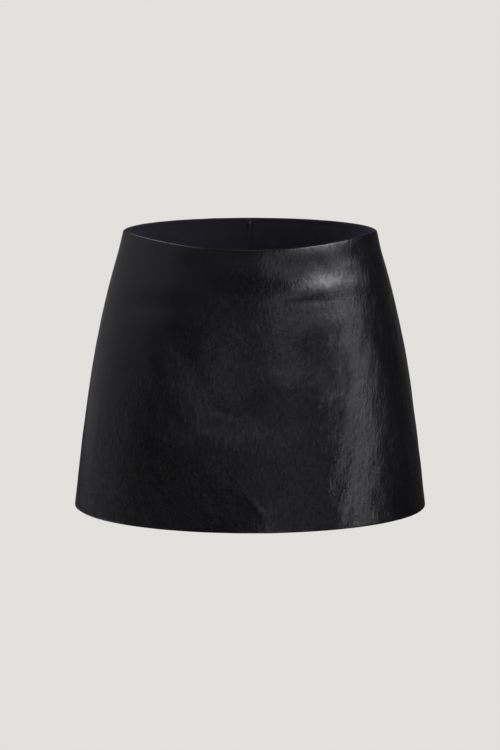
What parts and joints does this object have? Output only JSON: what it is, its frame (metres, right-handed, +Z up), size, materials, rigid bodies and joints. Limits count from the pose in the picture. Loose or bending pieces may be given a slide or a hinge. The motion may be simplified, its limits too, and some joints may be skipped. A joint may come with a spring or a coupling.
{
  "type": "faux leather skort",
  "caption": "A-line mini skirt in glossy black faux leather over plain inner shorts, filled out as worn, with a concealed zip at the centre back.",
  "frame": {"origin": "middle of the waist opening, level with the tops of the side seams, where the wearer's waist holds the garment", "axes": "+Z up out of the waist, -Y the way the wearer faces, +X the wearer's left"},
  "size_m": [0.4082, 0.2798, 0.3219],
  "materials": {
    "leather": "glossy black faux leather with a fine grain",
    "shorts_cloth": "matt black woven cloth",
    "zip_coil": "matt black nylon",
    "zip_metal": "satin black enamel"
  },
  "bodies": {
    "skort": {"skirt_front": "leather", "skirt_back_left": "leather", "skirt_back_right": "leather", "shorts_front_left": "shorts_cloth", "shorts_front_right": "shorts_cloth", "shorts_back_left": "shorts_cloth", "shorts_back_right": "shorts_cloth", "zip_chain": "zip_coil", "zip_slider": "zip_metal"},
    "pull": {"zip_pull": "zip_metal"}
  },
  "joints": [
    {"name": "pull_swing", "type": "hinge", "parent": "skort", "child": "pull", "pos_m": [0, 0.1092, -0.00893], "axis": [1, 0, 0], "range_deg": [0, 160]}
  ]
}
